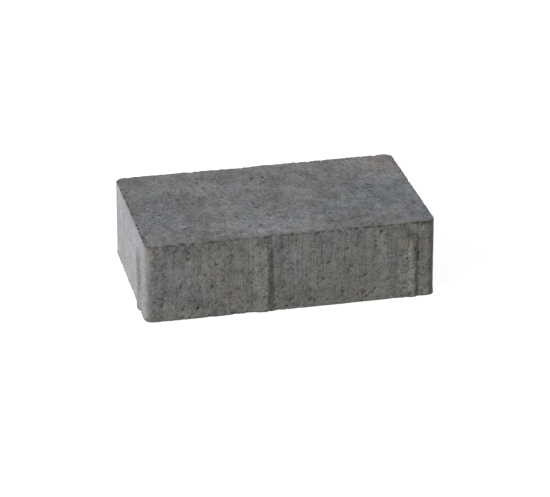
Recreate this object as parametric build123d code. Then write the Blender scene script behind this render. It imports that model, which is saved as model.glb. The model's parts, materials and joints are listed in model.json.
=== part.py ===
from build123d import *
import os

# Concrete paving stone with spacer ribs on its sides, lying on its bedding face.
# Millimetres. X runs along the length, Y across the width and Z up.
# The origin is the middle of the bedding face.

# Block, measured over its plain sides
stone_length = 215.0
stone_width = 130.0
stone_height = 60.0
corner_radius = 6.0  # upright corners
arris_radius = 0.8  # worn edge round the wearing face

# Spacer rib: a flat crest between two sloping flanks
rib_base = 14.0
rib_crest = 4.0
rib_depth = 1.8  # how far the crest stands out of the side
rib_edge_radius = 2.0  # softened edges of the crest
rib_inset = 20.5  # right-hand end of a long side, seen from outside, to the centre of its first rib
end_rib_inset = 26.0  # the same on the short ends
rib_pitch = 107.5  # rib to rib along a side, half the length of the stone
rib_top_gap = 8.0  # wearing face down to the top of the rib
rib_run_out = 5.0  # height over which the crest slopes back into the side
rib_root = 4.0  # depth of the rib inside the block


def block():
    outline = RectangleRounded(stone_length, stone_width, corner_radius)
    body = extrude(outline, stone_height)
    wearing_face_edges = body.edges().group_by(Axis.Z)[-1]
    return fillet(wearing_face_edges, arris_radius)


def spacer_rib():
    # Modelled on the front side, with the plain side in the XZ plane and -Y outward
    half_base = rib_base / 2
    half_crest = rib_crest / 2
    rib_height = stone_height - rib_top_gap
    section = make_face(
        Polyline(
            (-half_base, rib_root),
            (-half_base, 0),
            (-half_crest, -rib_depth),
            (half_crest, -rib_depth),
            (half_base, 0),
            (half_base, rib_root),
            close=True,
        )
    )
    crest_corners = section.vertices().group_by(Axis.Y)[0]
    section = fillet(crest_corners, rib_edge_radius)
    prism = extrude(section, rib_height)
    # The run-out slopes from the plain side at the rib's top down and out to the crest
    run_out_plane = Plane(
        origin=(0, 0, rib_height),
        x_dir=(1, 0, 0),
        z_dir=(0, -rib_run_out, rib_depth),
    )
    return split(prism, bisect_by=run_out_plane, keep=Keep.BOTTOM)


def ribs_on_side(side_length, face_distance, inset, turn):
    # Ribs are set out from the right-hand end of a side, which is turned from the front about Z
    first_rib = side_length / 2 - inset
    room_for_more = side_length - inset - rib_base / 2 - corner_radius
    ribs = []
    for index in range(1 + int(room_for_more // rib_pitch)):
        place = Pos(first_rib - index * rib_pitch, -face_distance, 0)
        ribs.append(Rot(0, 0, turn) * place * spacer_rib())
    return ribs


def paving_stone():
    stone = block()
    for turn in (0, 180):
        stone += ribs_on_side(stone_length, stone_width / 2, rib_inset, turn)
    for turn in (90, 270):
        stone += ribs_on_side(stone_width, stone_length / 2, end_rib_inset, turn)
    return stone


os.makedirs("parts", exist_ok=True)
export_step(paving_stone(), "parts/paving_stone.step")
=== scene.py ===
import bpy
import json
import math
import numpy as np
from mathutils import Matrix, Vector, kdtree, noise


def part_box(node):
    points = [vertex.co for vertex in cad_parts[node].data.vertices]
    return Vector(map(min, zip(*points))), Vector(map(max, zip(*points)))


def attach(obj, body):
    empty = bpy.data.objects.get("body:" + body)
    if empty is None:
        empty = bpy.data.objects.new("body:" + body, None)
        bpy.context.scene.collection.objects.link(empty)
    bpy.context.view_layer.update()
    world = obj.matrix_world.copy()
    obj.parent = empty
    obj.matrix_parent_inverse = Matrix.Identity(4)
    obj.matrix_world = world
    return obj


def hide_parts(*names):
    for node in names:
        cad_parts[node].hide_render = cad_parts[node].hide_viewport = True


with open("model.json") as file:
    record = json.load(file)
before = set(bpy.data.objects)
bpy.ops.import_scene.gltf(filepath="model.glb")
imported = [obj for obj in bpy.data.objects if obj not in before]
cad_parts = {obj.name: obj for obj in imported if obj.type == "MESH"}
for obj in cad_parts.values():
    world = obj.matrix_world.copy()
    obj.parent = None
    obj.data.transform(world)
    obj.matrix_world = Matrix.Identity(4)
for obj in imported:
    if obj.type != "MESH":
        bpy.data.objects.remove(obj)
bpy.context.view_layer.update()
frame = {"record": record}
mm = 0.001  # the stone is sculpted in millimetres and stored in metres

stone = dict(
    ribDepth=1.8, ribBase=14.0, ribTopGap=8.0, ribRunOut=5.0,
    cornerRadius=6.0,
    arris=0.25,  # top edge before wear
    foot=0.5,  # bottom edge
    columnsLong=240, columnsShort=144, rows=62,  # grid of about 0.9 mm, both column counts even
    fineBand=2.4, fineRows=5,  # closer rows below the top edge
    bedInset=1.5,  # ring where the bedding face turns to a coarser grid
)
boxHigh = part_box("paving_stone")[1]
halfLong = boxHigh[0] / mm - stone["ribDepth"]
halfShort = boxHigh[1] / mm - stone["ribDepth"]
height = boxHigh[2] / mm

# quarter turns from the front, counter-clockwise seen from above
sideNames = ["front", "right", "back", "left"]
sideTurns = {(0, -1): "front", (1, 0): "right", (0, 1): "back", (-1, 0): "left"}


def sideFrame(side):
    turn = sideNames.index(side) * math.pi / 2
    along = np.array([math.cos(turn), math.sin(turn)])
    outward = np.array([math.sin(turn), -math.cos(turn)])
    return np.round(along), np.round(outward)


def sidePath(half, columns):
    # one side from mid corner to mid corner: along, inward, turn of the normal, run
    radius = stone["cornerRadius"]
    arc = radius * math.pi / 4
    straight = 2 * (half - radius)
    run = np.arange(columns) * (2 * arc + straight) / columns
    turn = np.where(run < arc, run - arc, np.where(run > arc + straight, run - arc - straight, 0)) / radius
    along = np.clip(run - arc, 0, straight) - straight / 2 + radius * np.sin(turn)
    inward = radius * (1 - np.cos(turn))
    return along, inward, turn, run


def planRing():
    # the four sides in turn: places in plan, normals, along, number of the side, run
    plan, normal, along, side, run = [], [], [], [], []
    for index, name in enumerate(sideNames):
        isLong = index % 2 == 0
        half, reach = (halfLong, halfShort) if isLong else (halfShort, halfLong)
        columns = stone["columnsLong"] if isLong else stone["columnsShort"]
        sideAlong, inward, turn, sideRun = sidePath(half, columns)
        way, outward = sideFrame(name)
        plan.append(np.outer(sideAlong, way) + np.outer(reach - inward, outward))
        normal.append(np.outer(np.sin(turn), way) + np.outer(np.cos(turn), outward))
        along.append(sideAlong)
        side.append(np.full(columns, index))
        run.append(sideRun)
    return [np.concatenate(pieces) for pieces in (plan, normal, along, side, run)]


def profileRows():
    # inset and height of each ring, with the tilt of its normal
    foot, arris = stone["foot"], stone["arris"]
    soft = 1 - math.sqrt(0.5)
    rows = [(foot, 0.0, -90.0), (foot * soft, foot * soft, -45.0)]
    coarse = np.linspace(foot, height - stone["fineBand"], stone["rows"])
    fine = np.linspace(height - stone["fineBand"], height - arris, stone["fineRows"] + 1)[1:]
    for z in np.append(coarse, fine):
        rows.append((0.0, z, 0.0))
    rows += [(arris * soft, height - arris * soft, 45.0), (arris, height, 90.0)]
    return np.array(rows)


def fillRing(ring, columns, ranks):
    # fills a ring of points with a grid whose corners are the ring's mid corners
    count = len(ring)
    i, j = np.arange(columns + 1), np.arange(ranks + 1)
    front, back = ring[i], ring[2 * columns + ranks - i]
    right, left = ring[columns + j], ring[(count - j) % count]
    u = (i / columns)[:, None, None]
    v = (j / ranks)[None, :, None]
    grid = (1 - v) * front[:, None] + v * back[:, None] + (1 - u) * left[None] + u * right[None]
    grid -= (1 - u) * (1 - v) * front[0] + u * (1 - v) * front[-1] + (1 - u) * v * back[0] + u * v * back[-1]
    return grid


def gridIndex(ringStart, ringCount, columns, ranks, firstNew):
    # vertex numbers of such a grid: the ring's own round the edge, new ones inside
    index = np.zeros((columns + 1, ranks + 1), int)
    i, j = np.arange(columns + 1), np.arange(ranks + 1)
    index[:, 0] = ringStart + i
    index[:, -1] = ringStart + 2 * columns + ranks - i
    index[-1, :] = ringStart + columns + j
    index[0, :] = ringStart + (ringCount - j) % ringCount
    inner = (columns - 1) * (ranks - 1)
    index[1:-1, 1:-1] = firstNew + np.arange(inner).reshape(columns - 1, ranks - 1)
    return index


def quadsOf(index):
    corners = [index[:-1, :-1], index[1:, :-1], index[1:, 1:], index[:-1, 1:]]
    return np.stack(corners, -1).reshape(-1, 4)


plan, planNormal, planAlong, planSide, planRun = planRing()
rows = profileRows()
ringCount = len(plan)
columnsLong, columnsShort = stone["columnsLong"], stone["columnsShort"]

# rings up the sides
ringPoints = np.zeros((len(rows), ringCount, 3))
ringNormals = np.zeros_like(ringPoints)
for r, (inset, z, tilt) in enumerate(rows):
    tilt = math.radians(tilt)
    ringPoints[r, :, :2] = plan - planNormal * inset
    ringPoints[r, :, 2] = z
    ringNormals[r, :, :2] = planNormal * math.cos(tilt)
    ringNormals[r, :, 2] = math.sin(tilt)

# wearing face, and the bedding face on every second column
topGrid = fillRing(ringPoints[-1], columnsLong, columnsShort)
bedRing = ringPoints[0][::2].copy()
bedRing[:, :2] -= planNormal[::2] * stone["bedInset"]
bedGrid = fillRing(bedRing, columnsLong // 2, columnsShort // 2)

sheets = [
    ringPoints.reshape(-1, 3),
    topGrid[1:-1, 1:-1].reshape(-1, 3),
    bedRing,
    bedGrid[1:-1, 1:-1].reshape(-1, 3),
]
starts = np.cumsum([0] + [len(sheet) for sheet in sheets])
points = np.concatenate(sheets)
up = np.array([0.0, 0.0, 1.0])
restNormal = np.concatenate([
    ringNormals.reshape(-1, 3),
    np.tile(up, (len(sheets[1]), 1)),
    np.tile(-up, (len(sheets[2]) + len(sheets[3]), 1)),
])
restPoints = points.copy()
onSide = np.zeros(len(points))
onSide[:starts[1]] = np.clip(1 - np.abs(ringNormals[:, :, 2]).reshape(-1), 0, 1)
onTop = np.clip(restNormal[:, 2], 0, 1)
onBed = np.clip(-restNormal[:, 2], 0, 1)
sideOf = np.full(len(points), -1)
sideOf[:starts[1]] = np.tile(planSide, len(rows))
alongSide = np.zeros(len(points))
alongSide[:starts[1]] = np.tile(planAlong, len(rows))
print("grid laid out,", len(points), "points")

seedShift = np.array([17.31, 5.17, 29.73])  # each seed looks this much further on in the noise


def grain(size, seed, octaves=1, where=None):
    # noise of about -1 to 1 at every point, size in mm and one number for each axis if it is drawn out
    at = (points if where is None else points[where]) / np.asarray(size) + seedShift * seed
    if octaves == 1:
        return np.array([noise.noise(Vector(p)) for p in at])
    return np.array([noise.fractal(Vector(p), 1.0, 2.0, octaves) for p in at])


def smooth(x, low=0.0, high=1.0):
    x = np.clip((x - low) / (high - low), 0, 1)
    return x * x * (3 - 2 * x)


def closeTo(place, reach, where=slice(None)):
    # 1 at a place in plan, falling to 0 at its reach
    return smooth(1 - np.linalg.norm(restPoints[where, :2] - place, axis=1) / reach)


# soil is used for dirt and for painted shade, hollow is painted shade in the pits, and pale also carries
# painted highlights
stainAndShadeKinds = ("hollowShade", "soilAndShade", "tan", "olive", "blush", "pale", "cool", "closed", "bared", "lilac")
stainsAndShade = {name: np.zeros(len(points)) for name in stainAndShadeKinds}


def layStainAndShade(kind, where, amount):
    stainsAndShade[kind][where] = np.maximum(stainsAndShade[kind][where], amount)


# spacer ribs, at the places that the record gives: rise and fall are the runs of the left and right flanks,
# broken is off the top; the paler crest is partly worn and partly painted highlight on the lit flank;
# shade and brown are painted shade and its olive tint, on the right flank that faces away from the light
ribWearAndShade = {
    "front_middle_rib": dict(
        rise=8.5, fall=4.9, worn=0.12, crumble=0.05, foot=0.3, wander=0.2, broken=0,
        rubbedLitCrest=0.2, shade=0.3, brown=0.22, seed=4,
    ),
    "front_end_rib": dict(
        rise=10.5, fall=1.7, worn=0.45, crumble=0.45, foot=0.7, wander=0.9, broken=4.5,
        rubbedLitCrest=0.0, shade=0.3, brown=0.2, seed=5,
    ),
    "left_end_rib": dict(
        rise=4.0, fall=8.5, worn=0.08, crumble=0.05, foot=0.0, wander=0.2, broken=0,
        rubbedLitCrest=0.0, shade=0.2, brown=0.0, seed=6,
    ),
    "right_end_rib": dict(
        rise=6.0, fall=5.0, worn=0.2, crumble=0.2, foot=0.3, wander=0.3, broken=0,
        rubbedLitCrest=0.05, shade=0.2, brown=0.1, seed=7,
    ),
    "back_middle_rib": dict(
        rise=7.0, fall=5.0, worn=0.2, crumble=0.2, foot=0.3, wander=0.3, broken=0,
        rubbedLitCrest=0.08, shade=0.2, brown=0.1, seed=8,
    ),
    "back_end_rib": dict(
        rise=8.0, fall=4.5, worn=0.25, crumble=0.35, foot=0.5, wander=0.5, broken=1.5,
        rubbedLitCrest=0.05, shade=0.2, brown=0.1, seed=9,
    ),
}
ribCast = dict(
    wanderSize=8.0, runOutRagged=1.2, runOutSize=5.0,
    wornSize=9.0, wornFrom=(-0.3, 0.5), crumbleSize=2.4, footRise=9.0,
    leeStart=(-0.5, 0.7), leeEnd=(-0.3, 0.3),  # past the crest, and short of the flank's far edge
    leeTop=(-0.2, 0.6), leeRise=(2.0, 14.0), leeFoot=0.4, leeCrest=0.65,
)


def raiseRibs():
    cast = ribCast
    half = stone["ribBase"] / 2
    top = height - stone["ribTopGap"]
    push = np.zeros(len(points))
    for mount in frame["record"]["mounts"]:
        if mount["name"] not in ribWearAndShade:
            continue
        wearAndShade = ribWearAndShade[mount["name"]]
        seed = wearAndShade["seed"]
        side = sideTurns[tuple(int(a) for a in mount["axis"][:2])]
        centre = float(np.dot(sideFrame(side)[0], mount["pos_m"][:2])) / mm
        sameSide = sideOf == sideNames.index(side)
        near = np.flatnonzero(sameSide & (np.abs(alongSide - centre) < stone["ribBase"]))
        z = restPoints[near, 2]
        along = alongSide[near] - centre + wearAndShade["wander"] * grain(cast["wanderSize"], seed, 2, near)
        ragged = cast["runOutRagged"] * grain(cast["runOutSize"], seed + 1, 2, near)
        upward = (top - wearAndShade["broken"] - z + ragged) / stone["ribRunOut"]
        section = np.minimum((along + half) / wearAndShade["rise"], (half - along) / wearAndShade["fall"])
        form = np.clip(np.minimum(section, upward), 0, 1)
        worn = smooth(grain(cast["wornSize"], seed, 1, near), *cast["wornFrom"])
        depth = stone["ribDepth"] * (1 - wearAndShade["worn"] * worn)
        depth *= 1 - wearAndShade["foot"] * smooth(1 - z / cast["footRise"])
        rough = wearAndShade["crumble"] * grain(cast["crumbleSize"], seed + 2, 2, near) * form
        push[near] = np.clip(depth * form + rough, 0, None)

        # painted shade, darker towards the crest, and its olive tint on the flank away from the light; the
        # rest of the rib is paler, partly worn and partly painted highlight
        ridge = half - wearAndShade["fall"]
        lee = smooth(along - ridge, *cast["leeStart"])
        lee *= smooth(half - along, *cast["leeEnd"])
        lee *= smooth(upward, *cast["leeTop"])
        lee *= cast["leeFoot"] + (1 - cast["leeFoot"]) * smooth(z, *cast["leeRise"])
        deeper = cast["leeCrest"] + (1 - cast["leeCrest"]) * smooth(along, ridge, half)
        layStainAndShade("soilAndShade", near, wearAndShade["shade"] * lee * deeper)
        layStainAndShade("olive", near, wearAndShade["brown"] * lee)
        layStainAndShade("pale", near, wearAndShade["rubbedLitCrest"] * smooth(form) * (1 - lee))
    return push


ribPush = raiseRibs()
points += restNormal * ribPush[:, None]
print("ribs raised")

# the left end has a closed, smooth skin and leans out a little towards the foot
leftEnd = dict(
    closed=0.38, topIn=0.3, footOut=0.4, facing=(0.1, 0.75),
    reach=(9.0, 1.0),  # mm in from the end, where the lean starts and where it is full
)


def leanLeftEnd():
    spec = leftEnd
    start, full = spec["reach"]
    toward = smooth(-restPoints[:, 0], halfLong - start, halfLong - full)
    lean = spec["footOut"] - (spec["footOut"] + spec["topIn"]) * restPoints[:, 2] / height
    points[:, 0] -= toward * lean
    facing = onSide * smooth(-restNormal[:, 0], *spec["facing"])
    layStainAndShade("closed", slice(None), spec["closed"] * facing)


leanLeftEnd()

# side faces: drag marks from the mould, sandy skin, slow waviness, and an open skin towards the foot
castSide = dict(
    wave=0.14, waveSize=38.0,
    streak=0.085, streakSize=(1.8, 1.8, 42.0), broad=0.09, broadSize=(4.8, 4.8, 85.0),
    sand=0.055, sandSize=2.1, sandHigh=0.6, sandLow=0.7, open=0.14, openSize=4.2, openFrom=(0.25, 0.85),
    dragLost=0.7, closedLost=0.5, seed=21,
)
wearingFace = dict(
    wave=0.12, waveSize=30.0, sand=0.06, sandSize=2.0, open=0.10, openSize=5.0, sink=0.03, seed=31,
)
beddingFace = dict(wave=0.15, waveSize=26.0, sand=0.12, sandSize=3.6, seed=41)


def castSides():
    spec, seed = castSide, castSide["seed"]
    low = smooth(1 - points[:, 2] / height, *spec["openFrom"])
    drag = spec["streak"] * grain(spec["streakSize"], seed + 1)
    drag += spec["broad"] * grain(spec["broadSize"], seed + 2)
    skin = spec["wave"] * grain(spec["waveSize"], seed, 2)
    skin += (1 - spec["dragLost"] * low) * drag
    skin += spec["sand"] * (spec["sandHigh"] + spec["sandLow"] * low) * grain(spec["sandSize"], seed + 3, 2)
    skin += spec["open"] * low * grain(spec["openSize"], seed + 4, 2)
    return skin * (1 - spec["closedLost"] * stainsAndShade["closed"])


def castTop():
    spec, seed = wearingFace, wearingFace["seed"]
    skin = spec["wave"] * grain(spec["waveSize"], seed, 2)
    skin += spec["sand"] * grain(spec["sandSize"], seed + 1, 2)
    skin += spec["open"] * grain(spec["openSize"], seed + 2, 2)
    return skin - spec["sink"]


def castBed():
    spec, seed = beddingFace, beddingFace["seed"]
    skin = spec["wave"] * (grain(spec["waveSize"], seed, 2) - 1)
    skin += spec["sand"] * grain(spec["sandSize"], seed + 1, 2)
    return np.minimum(skin, 0)


castSkin = onSide * castSides() + onTop * castTop() + onBed * castBed()
points += restNormal * castSkin[:, None]
print("cast surface rippled")

# concrete that crept out under the mould: a slight flare at the foot, more at two corners
footFlare = dict(
    out=0.35, rise=5.0, fadeFrom=-0.6, size=11.0, level=0.5, uneven=1.3, most=1.4, seed=45,
    corners=[((-106, -50), 26.0, 0.6), ((107, -63), 7.0, 0.5)],  # place, reach and how far out
)


def flareFoot():
    spec = footFlare
    near = np.flatnonzero((onSide > 0) & (restPoints[:, 2] < 2 * spec["rise"]))
    fade = smooth(1 - restPoints[near, 2] / spec["rise"], spec["fadeFrom"], 1)
    uneven = spec["level"] + spec["uneven"] * grain(spec["size"], spec["seed"], 2, near)
    out = spec["out"] * np.clip(uneven, 0, spec["most"])
    for place, reach, more in spec["corners"]:
        out += more * closeTo(place, reach, near)
    points[near, :2] += restNormal[near, :2] * (fade * out)[:, None]


flareFoot()

# the front left corner stands out a little at the top, where the mould pulled up a burr
topCorner = dict(reach=11.0, rise=9.0, out=(-0.85, -0.45))


def drawTopCorner():
    spec = topCorner
    amount = closeTo((-halfLong, -halfShort), spec["reach"])
    amount *= smooth(restPoints[:, 2], height - spec["rise"], height)
    points[:, :2] += amount[:, None] * np.array(spec["out"])


drawTopCorner()

# worn arris: a ragged bevel round the wearing face, a slighter one at the foot
wornArris = dict(
    ragged=0.6, raggedSize=2.2, slow=0.3, slowSize=8.0, chip=1.2, chipSize=9.0, seed=51,
    crumbled=[  # place, reach, added bevel and size of the crumbs
        ((-88, -65), 30.0, 0.9, 1.7), ((-107, -30), 34.0, 0.5, 1.7),
        ((-107, -65), 10.0, -0.7, 1.7), ((-10, 65), 150.0, 1.7, 4.2),
    ],
)
wornFoot = dict(
    ragged=0.35, raggedSize=2.2, slow=0.12, slowSize=9.0, chip=0.7, chipSize=14.0, seed=61,
    crumbled=[],
)
wornBoth = dict(zone=6.0, raggedLeast=-0.4, chipFrom=(0.5, 0.85), crumbLevel=0.5, crumbMost=1.5)


def edgeDistance():
    # distance in from the plain sides, and the way out, of every point
    radius, tiny = stone["cornerRadius"], 1e-6
    past = np.abs(restPoints[:, :2]) - np.array([halfLong, halfShort]) + radius
    outside = np.maximum(past, 0)
    far = np.linalg.norm(outside, axis=1)
    inside = radius - far - np.minimum(past.max(axis=1), 0)
    straight = np.eye(2)[past.argmax(axis=1)]
    way = np.where((far > tiny)[:, None], outside / np.maximum(far, tiny)[:, None], straight)
    return inside, way * np.sign(restPoints[:, :2])


def wearEdge(spec, depth, lift):
    both, seed = wornBoth, spec["seed"]
    inside, way = edgeDistance()
    near = np.flatnonzero(inside + depth < both["zone"])
    bevel = spec["ragged"] * np.clip(grain(spec["raggedSize"], seed, 2, near), both["raggedLeast"], 1)
    bevel += spec["slow"] * grain(spec["slowSize"], seed + 1, 2, near)
    bevel += spec["chip"] * smooth(grain(spec["chipSize"], seed + 2, 2, near), *both["chipFrom"])
    for place, reach, more, size in spec["crumbled"]:
        crumbs = np.clip(both["crumbLevel"] + grain(size, seed + 3, 2, near), 0, both["crumbMost"])
        bevel += more * closeTo(place, reach, near) * crumbs
    bite = np.clip(bevel - inside[near] - depth[near], 0, None)
    points[near, :2] -= way[near] * (bite / 2)[:, None]
    points[near, 2] -= lift * bite / 2


wearEdge(wornArris, height - restPoints[:, 2], 1)
wearEdge(wornFoot, restPoints[:, 2], -1)
print("edges worn")

# pits: scattered ones by face, and the larger ones that the photograph shows; depth is a share of the radius;
# the inside of each is painted dark as painted shade, dark and darken say how much
pitFamilies = [
    dict(face="top", count=900, small=0.5, large=1.4, depth=0.5, cluster=11.0, low=0.0, seed=71),
    dict(face="side", count=900, small=0.5, large=1.4, depth=0.6, cluster=11.0, low=1.1, seed=72),
    dict(face="bed", count=600, small=1.2, large=3.2, depth=0.4, cluster=20.0, low=0.0, seed=73),
    dict(face="arris", count=340, small=0.6, large=1.3, depth=0.6, cluster=7.0, low=0.0, seed=74),
]
pitCut = dict(
    drawMost=0.55,  # pits are drawn out one way
    ragged=0.6, raggedSize=0.7, darken=1.4,
    strays=0.06, bunching=1.5, lowFrom=1.15, fewLarge=3,  # strays lie outside the bunches
    facing=0.9, arrisBand=1.6, placedSeed=79,
)
topPits = dict(
    depth=0.45, dark=1.25,
    places=[  # x, y and radius
        (-6.5, 41.5, 2.4), (61.3, 16.2, 2.4), (67, 5.5, 1.9), (74.5, -1, 1.6), (-68, 14.5, 2.1),
        (34.5, -47.5, 2.0), (50, -47, 1.4), (41.5, -6.5, 1.7), (42, 20.5, 1.6), (2, 41.5, 2.1),
        (-32, -25.5, 1.6), (-27, -32, 1.7), (-85, -33.5, 1.7), (-58.5, 4, 1.6), (-15, -5, 1.7),
        (49.5, 13.5, 1.1), (16.5, 27, 1.4), (-48, 43, 1.8), (59.2, 17.8, 1.2), (64.5, 15.5, 1.3),
        (65.6, 12.5, 1.3), (66.5, 9, 1.4), (-87.3, -29, 1.4), (-82.3, -36, 1.3), (-79, -34.3, 1.3),
    ],
)
frontPits = dict(
    depth=0.55, dark=1.1,
    places=[  # x, z and radius
        (-76.5, 47.5, 2.0), (-75.5, 52, 1.8), (-58.5, 24.5, 1.7), (-69.3, 8, 1.9), (-29.5, 24, 1.8),
        (-44, 47.3, 1.7), (-45, 17.8, 1.3), (-55.5, 41.7, 1.4), (-99, 35.7, 1.2), (-96, 13, 1.8),
        (-20.3, 12.3, 1.8), (-36, 34.5, 1.7), (-68, 36.8, 1.3), (-63.5, 34, 1.6), (-50, 28.7, 1.1),
        (-62, 10.5, 1.2), (14, 6.5, 1.9), (14.2, 14.5, 1.1), (42, 44, 2.0), (34.5, 44.6, 1.1),
        (67, 54.7, 2.0), (62.5, 48, 1.1), (63, 43.5, 1.3), (87, 31.3, 1.8), (81.5, 33.5, 1.6),
        (56.5, 4.5, 1.6), (37.5, 9.5, 1.2), (62.3, 10, 1.3), (23.5, 21.6, 1.4), (55.5, 22, 1.6),
        (27.7, 35, 1.3), (94.3, 35, 0.9), (94.6, 30, 1.0), (-102.5, 9, 1.0), (-101, 16, 1.0),
        (-85, 55, 1.6), (-83.5, 57.3, 1.0), (-78, 56, 1.0), (-74.5, 57.4, 1.3), (-77, 53.8, 1.2),
        (-101, 56, 1.0), (-98, 54, 1.2), (-91, 57.5, 1.1),
    ],
)
frontScoops = dict(  # at the broken top of the end rib, painted dark inside as painted shade
    dark=0.25,
    places=[(88.5, 47.5, 5.5, 1.0), (91.5, 45.5, 3.0, 0.8)],  # x, z, radius and depth in mm
)
arrisChips = dict(
    depth=0.5, dark=1.4, below=0.4,
    places=[  # x and radius
        (-105, 1.8), (-99, 1.2), (-91, 1.6), (-88, 1.2), (-81, 1.5), (-79, 1.4), (-73.3, 1.7), (-59, 1.2),
        (-6.5, 1.5), (0.9, 2.2), (20, 1.3), (44.5, 1.3), (48.5, 1.5), (55, 1.6), (57, 1.3), (66, 1.5),
        (68.5, 1.5), (74.5, 1.6), (94, 2.1), (99, 1.3),
    ],
)
leftChips = dict(
    depth=0.35, dark=1.3, inward=1.2,
    places=[  # y and radius
        (57, 1.7), (42, 1.8), (29, 1.5), (17, 2.0), (11, 1.7), (-4, 1.6), (-24, 2.1), (-30, 1.9), (-37, 1.7),
        (-46, 2.3), (-55, 2.1),
    ],
)


def digPits():
    cut = pitCut
    tree = kdtree.KDTree(len(points))
    for index, p in enumerate(restPoints):
        tree.insert(p, index)
    tree.balance()
    dent = np.zeros(len(points))
    shade = np.zeros(len(points))

    def dig(centre, radius, depth, rng, dark=1.0):
        turn = Vector(rng.uniform(0, 100, 3))
        lean = Vector(rng.normal(0, 1, 3)).normalized()
        draw = rng.uniform(0.0, cut["drawMost"])
        for spot, index, _ in tree.find_range(centre, radius * 2):
            offset = spot - Vector(centre)
            offset -= lean * offset.dot(lean) * draw
            ragged = 1 + cut["ragged"] * noise.noise(spot / (radius * cut["raggedSize"]) + turn)
            fall = max(0.0, 1 - offset.length * ragged / radius)
            fall = fall * fall * (3 - 2 * fall)
            dent[index] = max(dent[index], depth * fall)
            shade[index] = max(shade[index], dark * min(1.0, cut["darken"] * fall))

    def digPlaced(spec, place, radius, rng):
        dig(Vector(place), radius, radius * spec["depth"], rng, spec["dark"])

    band, facing = cut["arrisBand"], cut["facing"]
    edgeBand = (restPoints[:, 2] > height - band) & (edgeDistance()[0] < band)
    masks = dict(top=onTop > facing, side=onSide > facing, bed=onBed > facing, arris=edgeBand)
    for family in pitFamilies:
        rng = np.random.RandomState(family["seed"])
        choice = np.flatnonzero(masks[family["face"]])
        bunched = np.clip(grain(family["cluster"], family["seed"], 2, choice), 0, 1) ** cut["bunching"]
        weight = cut["strays"] + bunched
        weight *= (cut["lowFrom"] - restPoints[choice, 2] / height) ** family["low"]
        span = family["large"] - family["small"]
        for index in rng.choice(choice, family["count"], False, weight / weight.sum()):
            radius = family["small"] + span * rng.random_sample() ** cut["fewLarge"]
            dig(restPoints[index], radius, radius * family["depth"], rng)

    rng = np.random.RandomState(cut["placedSeed"])
    for x, y, radius in topPits["places"]:
        digPlaced(topPits, (x, y, height), radius, rng)
    for x, z, radius in frontPits["places"]:
        digPlaced(frontPits, (x, -halfShort, z), radius, rng)
    for x, z, radius, depth in frontScoops["places"]:
        dig(Vector((x, -halfShort, z)), radius, depth, rng, frontScoops["dark"])
    for x, radius in arrisChips["places"]:
        digPlaced(arrisChips, (x, -halfShort, height - arrisChips["below"]), radius, rng)
    for y, radius in leftChips["places"]:
        digPlaced(leftChips, (leftChips["inward"] - halfLong, y, height), radius, rng)
    return dent, shade


pitDepth, pitShade = digPits()
points -= restNormal * pitDepth[:, None]
points[:, 2] = np.clip(points[:, 2], 0, height)
# the pits are also painted dark inside, as painted shade
layStainAndShade("hollowShade", slice(None), pitShade)
print("pits dug")
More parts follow.
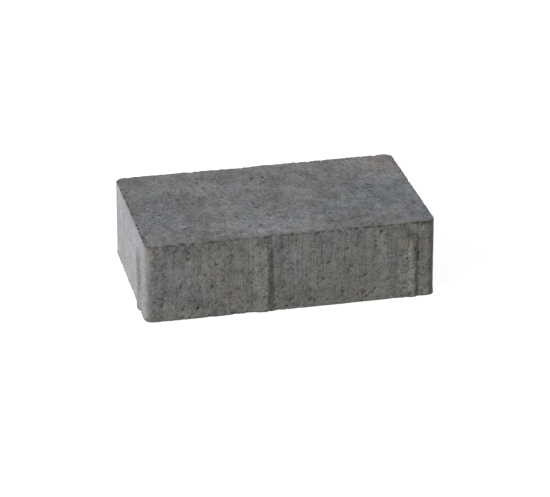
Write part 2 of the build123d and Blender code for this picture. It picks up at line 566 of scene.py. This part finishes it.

# stains, tints, painted shade and painted highlights by face and kind, each with its place and spread in mm
# and its strength; places are along and up a side, or x and y on top
marks = dict(
    top=dict(
        blush=[((95, 50), (11, 14), 0.66)],
        tan=[((0, 62), (110, 26), 0.08), ((-98, 54), (18, 14), 0.03)],
        cool=[
            ((80, -8), (34, 34), 0.8), ((-88, -12), (30, 40), 0.65), ((-10, -38), (30, 14), 0.7),
            ((35, -30), (20, 26), 0.5), ((98, -46), (15, 20), 1.0),
        ],
        bared=[((-74.7, -35), (3.4, 2.6), 0.8), ((-71, -56), (4, 5), 0.7)],
        pale=[
            ((-14, -42), (34, 24), 0.56), ((-30, 30), (24, 14), 0.44), ((-13, -24), (14, 12), 0.6),
            ((-75, -34.5), (3, 2.0), 0.7), ((-57, 33), (3.5, 3), 0.35), ((76, 52), (22, 14), 0.42),
            ((-15, -53), (14, 8), 0.72), ((-38, -54), (12, 8), 0.5), ((14, -52), (12, 9), 0.5),
            ((-64, 29), (14, 9), 0.28), ((-13, 52), (14, 10), 0.2), ((66, -24), (14, 10), 0.14),
            ((55, 28), (22, 8), 0.12), ((63, 33), (8, 9), 0.24), ((27, 32), (8, 9), 0.16),
            ((9, -33), (8, 9), 0.18), ((63, -32), (8, 9), 0.14), ((99, -11), (7, 9), 0.14),
            ((63, -53), (6, 7), 0.4), ((-8, -54), (6, 6), 0.9),
        ],
        soilAndShade=[
            ((-98, 52), (20, 16), 0.5), ((-108, 0), (8, 130), 0.34), ((-84, 2), (28, 50), 0.17),
            ((22, 2), (36, 15), 0.12), ((-62, 54), (44, 12), 0.16), ((-62, 0), (24, 14), 0.32),
            ((14, 54), (14, 10), 0.1), ((-94, -54), (16, 10), 0.14), ((-105, 62.5), (7, 3.5), 0.5),
            ((42, 0), (13, 11), 0.36), ((-52, -22), (24, 14), 0.36), ((66, -55), (50, 15), 0.15),
            ((97, -54), (14, 10), 0.22), ((96, 56), (10, 9), 0.2), ((81, -53), (8, 9), 0.42),
            ((81, -22), (8, 17), 0.26), ((27, -11), (8, 9), 0.36), ((-81, -11), (8, 9), 0.36),
            ((-9, 53), (7, 7), 0.32), ((12, 26), (14, 8), 0.12),
        ],
    ),
    left=dict(
        tan=[((-42, 14), (16, 10), 0.1), ((64, 55), (4, 6), 0.14)],
        lilac=[((-12, 42), (34, 18), 0.72)],
        pale=[((-40, 42), (14, 9), 0.1), ((8, 34), (12, 14), 0.1)],
        # the first two soil marks are painted shade: on the end rib's flank that faces away from the light,
        # and beyond it towards the rounded front corner
        soilAndShade=[
            ((41, 26), (7.5, 28), 0.38), ((57, 30), (11, 60), 0.22), ((-43, 19), (18, 9), 0.12),
            ((4, 57), (50, 5), 0.1),
        ],
    ),
    front=dict(
        blush=[((-45, 13), (7, 9), 0.4), ((51, 6), (6, 6), 0.65), ((-100, 55), (4, 4), 0.4)],
        tan=[
            ((83, 43.6), (4.8, 3.4), 0.46), ((88.5, 43.5), (1.2, 2.6), 0.55), ((99, 48), (14, 15), 0.12),
            ((-104, 54), (5, 7), 0.22), ((-24, 15), (14, 16), 0.08),
        ],
        # olive at (-20, 54) tints the painted shade above the middle rib
        olive=[((105, 38), (5, 34), 0.46), ((86, 50), (10, 9), 0.14), ((-20, 54), (7, 6), 0.1)],
        cool=[((4, 37), (8, 9), 0.5)],
        closed=[((83, 43.6), (4.2, 3.0), 0.7)],
        bared=[
            ((87.4, 31), (4.4, 14), 1.0), ((87.5, 10), (5, 12), 0.55), ((-97, 8), (7, 8), 0.3),
            ((98, 55.8), (3.2, 2.6), 1.0),
        ],
        # pale at (102, 46) is a painted highlight on the right corner, and the dot at (-19.7, 45.5) a painted
        # highlight on the middle rib's crest
        pale=[
            ((51, 6.5), (5, 3.5), 0.18), ((7, 44), (12, 16), 0.26), ((-82, 34), (10, 10), 0.12),
            ((-8, 40), (6, 16), 0.14), ((-63, 31), (8, 6), 0.16), ((-42, 43), (11, 6), 0.1),
            ((63, 30), (8, 6), 0.12), ((100, 6), (9, 8), 0.08), ((-82, 22), (8, 8), 0.18),
            ((83, 43.6), (4.8, 3.4), 1.0), ((88.5, 42), (1.1, 2.6), 0.4), ((102, 46), (4, 13), 0.45),
            ((88.5, 14), (3.2, 10), 0.3), ((98, 56), (1.5, 1.2), 0.8), ((-19.7, 45.5), (1.2, 1.5), 0.7),
            ((106.5, 1), (3, 2), 0.9),
        ],
        # soil marks from x 85 to 95 round the broken end rib, and at x -17 and -20 above the middle rib, are
        # painted shade beside the ribs and in the scoop at the end rib's top
        soilAndShade=[
            ((-84, 56), (22, 6), 0.22), ((-101, 22), (8, 24), 0.15), ((54, 24), (20, 22), 0.14),
            ((-98, 44), (3.5, 16), 0.2), ((105.2, 28), (2.2, 18), 0.14), ((-17.0, 56), (2.4, 5), 0.42),
            ((85, 54), (3.2, 3.4), 0.3), ((99, 58), (11, 3), 0.14), ((82, 52), (8, 8), 0.1),
            ((-66, 55), (14, 7), 0.14), ((20, 54), (14, 8), 0.1), ((-20, 55), (6, 4.5), 0.18),
            ((10, 10), (12, 11), 0.3), ((79, 36), (8, 22), 0.2), ((89.8, 51.4), (4.4, 3.8), 0.42),
            ((86, 34), (1.2, 8), 0.35), ((92.8, 48), (1.6, 5), 0.55), ((94.3, 36), (1.1, 9), 0.75),
            ((103, 59), (7, 1.2), 0.5), ((94.1, 7), (0.9, 8), 0.6), ((93.6, 20), (0.8, 9), 0.22),
            ((87, 43), (0.7, 3.6), 0.7), ((88, 35), (2.6, 7), 0.16), ((91, 41.5), (1.5, 5.5), 0.6),
        ],
    ),
)
markEdge = dict(
    fray=0.4, fraySize=5.0, reach=1.4, soft=1.2, topFrom=0.3, sideTo=0.8,
    seeds=dict(tan=84, soilAndShade=85, pale=85, cool=85, olive=86, blush=86, bared=86, lilac=86, closed=87),
)


def layMark(face, kind, place, spread, strength):
    spec = markEdge
    if face == "top":
        where = np.flatnonzero(onTop > spec["topFrom"])
        flat = restPoints[where, :2]
    else:
        where = np.flatnonzero((sideOf == sideNames.index(face)) & (restNormal[:, 2] < spec["sideTo"]))
        flat = np.stack([alongSide[where], restPoints[where, 2]], 1)
    away = np.linalg.norm((flat - np.array(place)) / np.array(spread), axis=1)
    away += spec["fray"] * grain(spec["fraySize"], spec["seeds"][kind], 3, where)
    layStainAndShade(kind, where, strength * smooth(spec["reach"] - away, 0, spec["soft"]))


for face, kinds in marks.items():
    for kind, places in kinds.items():
        for place, spread, strength in places:
            layMark(face, kind, place, spread, strength)

# dirt that comes and goes along the edges: a thin dark line at the arris, a wider veil on the wearing face,
# a little under the front arris, and splashes above the foot; the thin dark line along the foot itself
# is painted contact shadow, where the stone meets the floor
edgeDirtAndShadow = dict(
    line=dict(front=0.66, right=0.20, back=0.56, left=0.58),
    lineWidth=1.5, lineInward=0.8, lineSize=3.4, lineFrom=(-0.35, 0.4),
    faint=[  # where the line is rubbed away: place, reach and share
        ((-84, -65), 42.0, 0.85), ((-50, -65), 22.0, 0.5), ((24, -65), 20.0, 0.5), ((-106, -65), 10.0, 0.7),
    ],
    veil=dict(front=0.36, right=0.03, back=0.10, left=0.18), veilWidth=9.0,
    brown=dict(front=0.11, right=0.0, back=0.03, left=0.04), under=0.08, underWidth=7.0,
    mottle=(0.7, 0.6), mottleSize=6.0,  # level and unevenness
    # the foot entries give the painted contact shadow along the foot
    foot=0.45, footShadowWidth=2.0, footShadowSize=(7.0, 7.0, 1.5), footShadowFrom=(-0.2, 0.4), footShadowBed=0.9,
    splash=0.10, splashHeight=15.0, seed=87,
)


def dirtyAndShadedEdges():
    spec, seed = edgeDirtAndShadow, edgeDirtAndShadow["seed"]
    inside, way = edgeDistance()
    endwise = np.abs(way[:, 0]) > np.abs(way[:, 1])
    facing = np.where(endwise, np.where(way[:, 0] > 0, 1, 3), np.where(way[:, 1] > 0, 2, 0))
    depth = height - restPoints[:, 2]
    near = np.flatnonzero((inside < spec["veilWidth"]) & (depth < spec["underWidth"]))

    def bySide(kind):
        return np.array([spec[kind][name] for name in sideNames])[facing[near]]

    away = inside[near] * spec["lineInward"] + depth[near]
    broken = smooth(grain(spec["lineSize"], seed, 3, near), *spec["lineFrom"])
    for place, reach, less in spec["faint"]:
        broken *= 1 - less * closeTo(place, reach, near)
    layStainAndShade("soilAndShade", near, bySide("line") * broken * smooth(1 - away / spec["lineWidth"]))

    level, uneven = spec["mottle"]
    mottle = level + uneven * grain(spec["mottleSize"], seed + 1, 2, near)
    fade = onTop[near] * smooth(1 - inside[near] / spec["veilWidth"])
    layStainAndShade("soilAndShade", near, bySide("veil") * mottle * fade)
    layStainAndShade("tan", near, bySide("brown") * fade)
    below = onSide[near] * (facing[near] == 0) * smooth(1 - depth[near] / spec["underWidth"])
    layStainAndShade("soilAndShade", near, spec["under"] * mottle * below)

    # painted contact shadow: a broken dark line along the foot of the sides
    low = np.flatnonzero((restPoints[:, 2] < spec["footShadowWidth"]) & (onBed < spec["footShadowBed"]))
    broken = smooth(grain(spec["footShadowSize"], seed + 2, 2, low), *spec["footShadowFrom"])
    layStainAndShade("soilAndShade", low, spec["foot"] * broken * smooth(1 - restPoints[low, 2] / spec["footShadowWidth"]))
    layStainAndShade("olive", slice(None), spec["splash"] * onSide * smooth(1 - restPoints[:, 2] / spec["splashHeight"]))


dirtyAndShadedEdges()
print("stains laid")


def bakeMap():
    # one chart for each face, laid side by side on a square sheet; corners in the order of the faces
    gap = 4.0  # mm between charts
    rowRun = np.concatenate([[0], np.cumsum(np.hypot(np.diff(rows[:, 0]), np.diff(rows[:, 1])))])
    tall = rowRun[-1]
    wide = 2 * halfShort + gap
    across = [(2 * wide, 0), (0, 2 * halfLong + gap), (2 * wide + tall + gap, 0), (wide, 2 * halfLong + gap)]
    sheet = 2 * wide + 2 * tall + 3 * gap
    charts = []
    for index in range(4):
        run = planRun[planSide == index]
        run = np.append(run, run[-1] + run[1])
        column, row = np.meshgrid(np.arange(len(run) - 1), np.arange(len(rows) - 1))
        steps = ((0, 0), (1, 0), (1, 1), (0, 1))
        corners = [np.stack([run[column + a], rowRun[row + b]], -1) for a, b in steps]
        corners = np.stack(corners, -2).reshape(-1, 4, 2)
        if index % 2 == 0:
            corners = np.stack([tall - corners[..., 1], corners[..., 0]], -1)
        charts.append((corners + np.array(across[index])).reshape(-1, 2))
    topFlat = np.stack([halfShort - restPoints[:, 1], restPoints[:, 0] + halfLong], 1)
    bedFlat = np.stack([restPoints[:, 1] + halfShort + wide, restPoints[:, 0] + halfLong], 1)
    return charts, topFlat, bedFlat, sheet


def buildMesh():
    ringIndex = np.arange(len(rows) * ringCount).reshape(len(rows), ringCount)
    topIndex = gridIndex(ringIndex[-1, 0], ringCount, columnsLong, columnsShort, starts[1])
    bedIndex = gridIndex(starts[2], ringCount // 2, columnsLong // 2, columnsShort // 2, starts[3])
    charts, topFlat, bedFlat, sheet = bakeMap()
    faces, corners = [], []
    for index in range(4):
        column = np.flatnonzero(planSide == index)
        after = (column + 1) % ringCount
        lower, upper = ringIndex[:-1], ringIndex[1:]
        quads = np.stack([lower[:, column], lower[:, after], upper[:, after], upper[:, column]], -1)
        faces += quads.reshape(-1, 4).tolist()
        corners.append(charts[index])
    topQuads = quadsOf(topIndex)
    faces += topQuads.tolist()
    corners.append(topFlat[topQuads.reshape(-1)])
    # the bedding face steps from every column to every second one
    k = np.arange(ringCount // 2)
    first, middle, last = 2 * k, 2 * k + 1, (2 * k + 2) % ringCount
    inner = starts[2] + k
    innerNext = starts[2] + (k + 1) % (ringCount // 2)
    fans = ((first, inner, middle), (middle, inner, innerNext), (middle, innerNext, last))
    step = np.stack([np.stack(fan, -1) for fan in fans], 1).reshape(-1, 3)
    faces += step.tolist()
    corners.append(bedFlat[step.reshape(-1)])
    bedQuads = quadsOf(bedIndex)[:, ::-1]
    faces += bedQuads.tolist()
    corners.append(bedFlat[bedQuads.reshape(-1)])

    mesh = bpy.data.meshes.new("pavingStoneCast")
    mesh.from_pydata((points * mm).tolist(), [], faces)
    mesh.polygons.foreach_set("use_smooth", np.ones(len(faces), bool))
    uvMap = mesh.uv_layers.new(name="OFBake")
    uvMap.data.foreach_set("uv", (np.concatenate(corners) / sheet).astype(np.float32).reshape(-1))
    for name, values in dict(stainsAndShade, castSide=onSide, bedSide=onBed).items():
        layer = mesh.attributes.new(name, "FLOAT", "POINT")
        layer.data.foreach_set("value", values.astype(np.float32))
    mesh.validate()
    mesh.update()
    return mesh


stoneObject = bpy.data.objects.new("pavingStoneCast", buildMesh())
bpy.context.collection.objects.link(stoneObject)
print("mesh built,", len(stoneObject.data.polygons), "faces")

# concrete: sizes in mm; gains are shares of the colour, for the top and the sides where there are two;
# a pair called From, Edge, Rise or Below is where something starts and where it is full
concrete = dict(
    topNeutral=(0.2295, 0.233, 0.2288, 1), topCool=(0.2159, 0.2282, 0.2452, 1),
    sideGrey=(0.2645, 0.2658, 0.2568, 1), sideBrown=(0.2765, 0.2678, 0.2428, 1),
    closedColor=(0.257, 0.2565, 0.2475, 1), lilacColor=(0.2575, 0.2475, 0.255, 1),
    bedColor=(0.23, 0.22, 0.2, 1), paleColor=(0.36, 0.365, 0.372, 1), soilAndShadeColor=(0.083, 0.080, 0.068, 1),
    tanColor=(0.33, 0.268, 0.18, 1), oliveColor=(0.275, 0.27, 0.158, 1), blushColor=(0.285, 0.235, 0.222, 1),
    hollowShadeShare=0.7,  # how far the pits are painted towards the soil colour, as painted shade
    stretch=(1.0, 0.8, 1.0),  # the grain runs a little longer across the stone
    noiseRoughness=0.6,
    hueSize=36.0, coolFrom=(0.48, 0.74), brownFrom=(0.40, 0.75),
    driftSize=13.0, driftFrom=(0.34, 0.66), greener=(0.995, 1.022, 0.995, 1), violet=(1.006, 0.978, 1.006, 1),
    broadSize=48.0, broadGain=(1.1, 0.5), patchSize=9.0, patchGain=(1.0, 0.9),
    clumpSize=3.2, clumpGain=(0.95, 0.8), sandSize=1.2, sandGain=(0.5, 0.62),
    grainSize=0.95, grainGain=(0.40, 0.42), grainRelief=-0.5,
    streakSize=(0.95, 0.95, 26.0), streakGain=1.1, bandSize=(3.6, 3.6, 75.0), bandGain=0.35,
    dragRise=(8.0, 30.0), dragLeast=0.35,  # drag marks fade towards the foot
    speckSize=2.8, speckEdge=(0.26, 0.16), speckFrom=(0.55, 1.0), lightGrit=0.85, darkGrit=(-0.8, -0.45),
    bendSize=1.6, bend=2.2,  # bends the grits out of round
    bareSize=1.9, bareEdge=(0.5, 0.28), brightFrom=(0.42, 0.62), brightGain=1.1,
    gapFrom=(0.38, 0.2), gapGain=-0.42,
    pinSize=1.15, pinFrom=(0.65, 0.69), pinPatch=8.0, pinPatchFrom=(0.44, 0.60), pinGain=-0.4,
    nickSize=1.9, nickFrom=(0.50, 0.64), nickBelow=(1.3, 0.52), nickGain=-0.4,
    bumpHeight=0.4, bumpStrength=0.8, roughness=0.93, specular=0.25,
)


def addNode(tree, kind, sockets=None, **settings):
    node = tree.nodes.new(kind)
    for key, value in settings.items():
        setattr(node, key, value)
    for key, value in (sockets or {}).items():
        if isinstance(value, bpy.types.NodeSocket):
            tree.links.new(value, node.inputs[key])
        else:
            node.inputs[key].default_value = value
    return node


def concreteMaterial():
    spec = concrete
    material = bpy.data.materials.new("pressedConcrete")
    material.use_nodes = True
    tree = material.node_tree
    shader = tree.nodes["Principled BSDF"]

    def combine(operation, *values):
        return addNode(tree, "ShaderNodeMath", dict(enumerate(values)), operation=operation).outputs[0]

    def plus(base, field, gain):
        return combine("MULTIPLY_ADD", field, gain, base)

    def addGain(base, field, gain):
        return plus(base, combine("SUBTRACT", field, 0.5), gain)

    def vectors(operation, *values):
        return addNode(tree, "ShaderNodeVectorMath", dict(enumerate(values)), operation=operation).outputs[0]

    def attribute(name):
        return addNode(tree, "ShaderNodeAttribute", attribute_name=name).outputs["Fac"]

    def blend(amount, a, b):
        return addNode(tree, "ShaderNodeMix", {0: amount, 6: a, 7: b}, data_type="RGBA").outputs[2]

    def ramp(value, limits):
        sockets = {0: value, 1: limits[0], 2: limits[1]}
        return addNode(tree, "ShaderNodeMapRange", sockets, interpolation_type="SMOOTHSTEP").outputs[0]

    here = addNode(tree, "ShaderNodeTexCoord").outputs["Object"]
    heightAt = addNode(tree, "ShaderNodeSeparateXYZ", {0: here}).outputs[2]
    place = vectors("MULTIPLY", here, spec["stretch"])

    def noiseAt(size, detail=2.0):
        sockets = {"Vector": place, "Scale": 1 / (size * mm), "Detail": detail}
        sockets["Roughness"] = spec["noiseRoughness"]
        return addNode(tree, "ShaderNodeTexNoise", sockets).outputs[0]

    def drawnNoise(size, detail):
        drawn = vectors("MULTIPLY", place, [1 / (s * mm) for s in size])
        sockets = {"Vector": drawn, "Scale": 1.0, "Detail": detail}
        return addNode(tree, "ShaderNodeTexNoise", sockets).outputs[0]

    def cells(size, vector):
        # distance from the middle of each cell, and two numbers of its own
        pattern = addNode(tree, "ShaderNodeTexVoronoi", {"Vector": vector, "Scale": 1 / (size * mm)})
        own = addNode(tree, "ShaderNodeSeparateColor", {0: pattern.outputs["Color"]})
        return pattern.outputs["Distance"], own.outputs[0], own.outputs[1]

    # ground colours by face, each drifting between two tints
    castSideAt, bedAt = attribute("castSide"), attribute("bedSide")
    coolAt, closedAt = attribute("cool"), attribute("closed")
    hue = noiseAt(spec["hueSize"], 3.0)
    ground = blend(combine("ADD", ramp(hue, spec["coolFrom"]), coolAt), spec["topNeutral"], spec["topCool"])
    sideGround = blend(ramp(hue, spec["brownFrom"]), spec["sideGrey"], spec["sideBrown"])
    sideGround = blend(combine("MULTIPLY", coolAt, castSideAt), sideGround, spec["topCool"])
    sideGround = blend(ramp(closedAt, (0.0, leftEnd["closed"])), sideGround, spec["closedColor"])
    sideGround = blend(attribute("lilac"), sideGround, spec["lilacColor"])
    ground = blend(castSideAt, ground, sideGround)
    ground = blend(bedAt, ground, spec["bedColor"])

    def byFace(gain):
        return plus(gain[0], castSideAt, gain[1] - gain[0])

    # tone: slow mottling, clumps, sand, single grains, drag marks down the sides
    sand = noiseAt(spec["sandSize"], 3.0)
    grainDistance, grainTone, _ = cells(spec["grainSize"], place)
    tone = addGain(1.0, noiseAt(spec["broadSize"]), byFace(spec["broadGain"]))
    tone = addGain(tone, noiseAt(spec["patchSize"], 3.0), byFace(spec["patchGain"]))
    tone = addGain(tone, noiseAt(spec["clumpSize"]), byFace(spec["clumpGain"]))
    tone = addGain(tone, sand, byFace(spec["sandGain"]))
    tone = addGain(tone, grainTone, byFace(spec["grainGain"]))
    upper = ramp(heightAt, [rise * mm for rise in spec["dragRise"]])
    dragAt = combine("MULTIPLY", castSideAt, plus(spec["dragLeast"], upper, 1 - spec["dragLeast"]))
    tone = addGain(tone, drawnNoise(spec["streakSize"], 3.0), combine("MULTIPLY", dragAt, spec["streakGain"]))
    tone = addGain(tone, drawnNoise(spec["bandSize"], 2.0), combine("MULTIPLY", dragAt, spec["bandGain"]))

    # stains over the ground colour; the soil colour serves both dirt and painted shade
    for kind in ("pale", "blush", "tan", "olive", "soilAndShade"):
        ground = blend(attribute(kind), ground, spec[kind + "Color"])
    # painted shade in the pits, in the soil colour
    ground = blend(combine("MULTIPLY", attribute("hollowShade"), spec["hollowShadeShare"]), ground, spec["soilAndShadeColor"])

    # single light and dark grits
    bending = {"Vector": place, "Scale": 1 / (spec["bendSize"] * mm), "Detail": 1.0}
    bent = addNode(tree, "ShaderNodeTexNoise", bending).outputs["Color"]
    bent = vectors("MULTIPLY_ADD", bent, [spec["bend"] * mm] * 3, place)
    gritDistance, lightTone, darkTone = cells(spec["speckSize"], bent)
    gritSpot = ramp(gritDistance, spec["speckEdge"])
    lightGrit = combine("MULTIPLY", gritSpot, ramp(lightTone, spec["speckFrom"]))
    darkGrit = combine("MULTIPLY", gritSpot, ramp(darkTone, spec["speckFrom"]))
    tone = plus(tone, lightGrit, spec["lightGrit"])
    tone = plus(tone, darkGrit, byFace(spec["darkGrit"]))

    # bared grit: bright stones, with painted shade in the gaps between them
    baredAt = attribute("bared")
    bareDistance, bareTone, _ = cells(spec["bareSize"], bent)
    brightStone = ramp(bareDistance, spec["bareEdge"])
    brightStone = combine("MULTIPLY", brightStone, ramp(bareTone, spec["brightFrom"]))
    gapShade = ramp(bareTone, spec["gapFrom"])
    tone = plus(tone, combine("MULTIPLY", brightStone, baredAt), spec["brightGain"])
    tone = plus(tone, combine("MULTIPLY", gapShade, baredAt), spec["gapGain"])

    # pinholes, in patches: dents in the bump, painted dark as the shade inside them
    pinhole = ramp(noiseAt(spec["pinSize"], 1.5), spec["pinFrom"])
    pinhole = combine("MULTIPLY", pinhole, ramp(noiseAt(spec["pinPatch"]), spec["pinPatchFrom"]))
    tone = plus(tone, pinhole, spec["pinGain"])

    # nicks along the upper rim of the sides, painted dark as the shade inside them
    rim = ramp(heightAt, [(height - below) * mm for below in spec["nickBelow"]])
    nick = ramp(noiseAt(spec["nickSize"]), spec["nickFrom"])
    nick = combine("MULTIPLY", nick, combine("MULTIPLY", rim, castSideAt))
    tone = plus(tone, nick, spec["nickGain"])

    # a closed skin shows less of all this
    openAt = combine("SUBTRACT", 1.0, closedAt)
    tone = plus(1.0, combine("SUBTRACT", tone, 1.0), openAt)
    color = addNode(tree, "ShaderNodeVectorMath", {0: ground, "Scale": tone}, operation="SCALE").outputs[0]
    drift = blend(ramp(noiseAt(spec["driftSize"]), spec["driftFrom"]), spec["greener"], spec["violet"])
    tree.links.new(vectors("MULTIPLY", color, drift), shader.inputs["Base Color"])

    relief = combine("ADD", sand, combine("MULTIPLY", grainDistance, spec["grainRelief"]))
    relief = combine("SUBTRACT", relief, pinhole)
    relief = combine("MULTIPLY", relief, openAt)
    bumps = {"Strength": spec["bumpStrength"], "Distance": spec["bumpHeight"] * mm, "Height": relief}
    tree.links.new(addNode(tree, "ShaderNodeBump", bumps).outputs[0], shader.inputs["Normal"])
    shader.inputs["Roughness"].default_value = spec["roughness"]
    shader.inputs["Specular IOR Level"].default_value = spec["specular"]
    return material


stoneObject.data.materials.append(concreteMaterial())
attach(stoneObject, "root")
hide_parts("paving_stone")
print("concrete applied")

studio = dict(
    worldLight=0.28, floorColor=(0.42, 0.42, 0.42, 1), floorGlow=0.87, floorSize=12.0,
    lampAim=(0, 0, 0.03),
    lamps=[
        dict(
            name="keyLamp", place=(-3.6, 2.52, 0.56), size=(2.8, 2.2),
            power=250.0, color=(0.95, 0.945, 1.075),
        ),
        dict(
            name="fillLamp", place=(-4.44, -2.56, 2.72), size=(3.2, 2.8),
            power=200.0, color=(1.0, 1.0, 1.0),
        ),
        dict(
            name="rightLamp", place=(3.6, 1.9, 0.7), size=(2.0, 1.8),
            power=35.0, color=(1.0, 1.0, 1.0),
        ),
    ],
)


def seenDirectly(tree):
    # 1 for rays that show the background: camera, mirror and glass rays
    rays = addNode(tree, "ShaderNodeLightPath").outputs
    either = {0: rays["Is Camera Ray"], 1: rays["Is Glossy Ray"]}
    total = addNode(tree, "ShaderNodeMath", either, operation="MAXIMUM").outputs[0]
    either = {0: total, 1: rays["Is Transmission Ray"]}
    return addNode(tree, "ShaderNodeMath", either, operation="MAXIMUM").outputs[0]


def lightWorld():
    world = bpy.data.worlds.new("studioWorld")
    world.use_nodes = True
    bpy.context.scene.world = world
    tree = world.node_tree
    sockets = {0: seenDirectly(tree), 2: studio["worldLight"], 3: 1.0}
    light = addNode(tree, "ShaderNodeMix", sockets, data_type="FLOAT")
    back = tree.nodes["Background"]
    back.inputs["Color"].default_value = (1, 1, 1, 1)
    tree.links.new(light.outputs[0], back.inputs["Strength"])


def layFloor():
    half = studio["floorSize"] / 2
    mesh = bpy.data.meshes.new("studioFloor")
    corners = [(-half, -half, 0), (half, -half, 0), (half, half, 0), (-half, half, 0)]
    mesh.from_pydata(corners, [], [(0, 1, 2, 3)])
    floor = bpy.data.objects.new("studioFloor", mesh)
    bpy.context.collection.objects.link(floor)
    material = bpy.data.materials.new("paleFloor")
    material.use_nodes = True
    tree = material.node_tree
    tree.nodes.remove(tree.nodes["Principled BSDF"])
    matt = addNode(tree, "ShaderNodeBsdfDiffuse", {"Color": studio["floorColor"]})
    shown = {0: seenDirectly(tree), 1: studio["floorGlow"]}
    glow = addNode(tree, "ShaderNodeMath", shown, operation="MULTIPLY")
    shine = addNode(tree, "ShaderNodeEmission", {"Strength": glow.outputs[0]})
    both = addNode(tree, "ShaderNodeAddShader", {0: matt.outputs[0], 1: shine.outputs[0]})
    tree.links.new(both.outputs[0], tree.nodes["Material Output"].inputs["Surface"])
    mesh.materials.append(material)


def hangLamps():
    for entry in studio["lamps"]:
        lamp = bpy.data.lights.new(entry["name"], "AREA")
        lamp.shape = "RECTANGLE"
        lamp.size, lamp.size_y = entry["size"]
        lamp.energy = entry["power"]
        lamp.color = entry["color"]
        softbox = bpy.data.objects.new(entry["name"], lamp)
        softbox.location = entry["place"]
        aim = Vector(studio["lampAim"]) - softbox.location
        softbox.rotation_euler = aim.to_track_quat("-Z", "Y").to_euler()
        bpy.context.collection.objects.link(softbox)


lightWorld()
layFloor()
hangLamps()
print("studio lit")

# camera fitted to the stone's edges in the photograph
photoView = dict(
    azimuth=-12.43, elevation=24.54, roll=-0.31, distance=2.1025, target=(0.0009, -0.0042, 0.0214),
    lens=184.6, sensor=36,
)


def placeCamera():
    spec = photoView
    azimuth, elevation, roll = (math.radians(spec[k]) for k in ("azimuth", "elevation", "roll"))
    flat = math.cos(elevation)
    back = Vector((math.sin(azimuth) * flat, -math.cos(azimuth) * flat, math.sin(elevation)))
    level = Vector((0, 0, 1)).cross(back).normalized()
    above = back.cross(level)
    right = level * math.cos(roll) + above * math.sin(roll)
    upward = above * math.cos(roll) - level * math.sin(roll)
    data = bpy.data.cameras.new("photoCamera")
    data.lens = spec["lens"]
    data.sensor_width = spec["sensor"]
    camera = bpy.data.objects.new("photoCamera", data)
    turned = Matrix((right, upward, back)).transposed().to_4x4()
    camera.matrix_world = Matrix.Translation(Vector(spec["target"]) + back * spec["distance"]) @ turned
    bpy.context.collection.objects.link(camera)
    bpy.context.scene.camera = camera


placeCamera()
bpy.context.scene.view_settings.view_transform = "Standard"
print("camera placed")

bpy.context.view_layer.update()
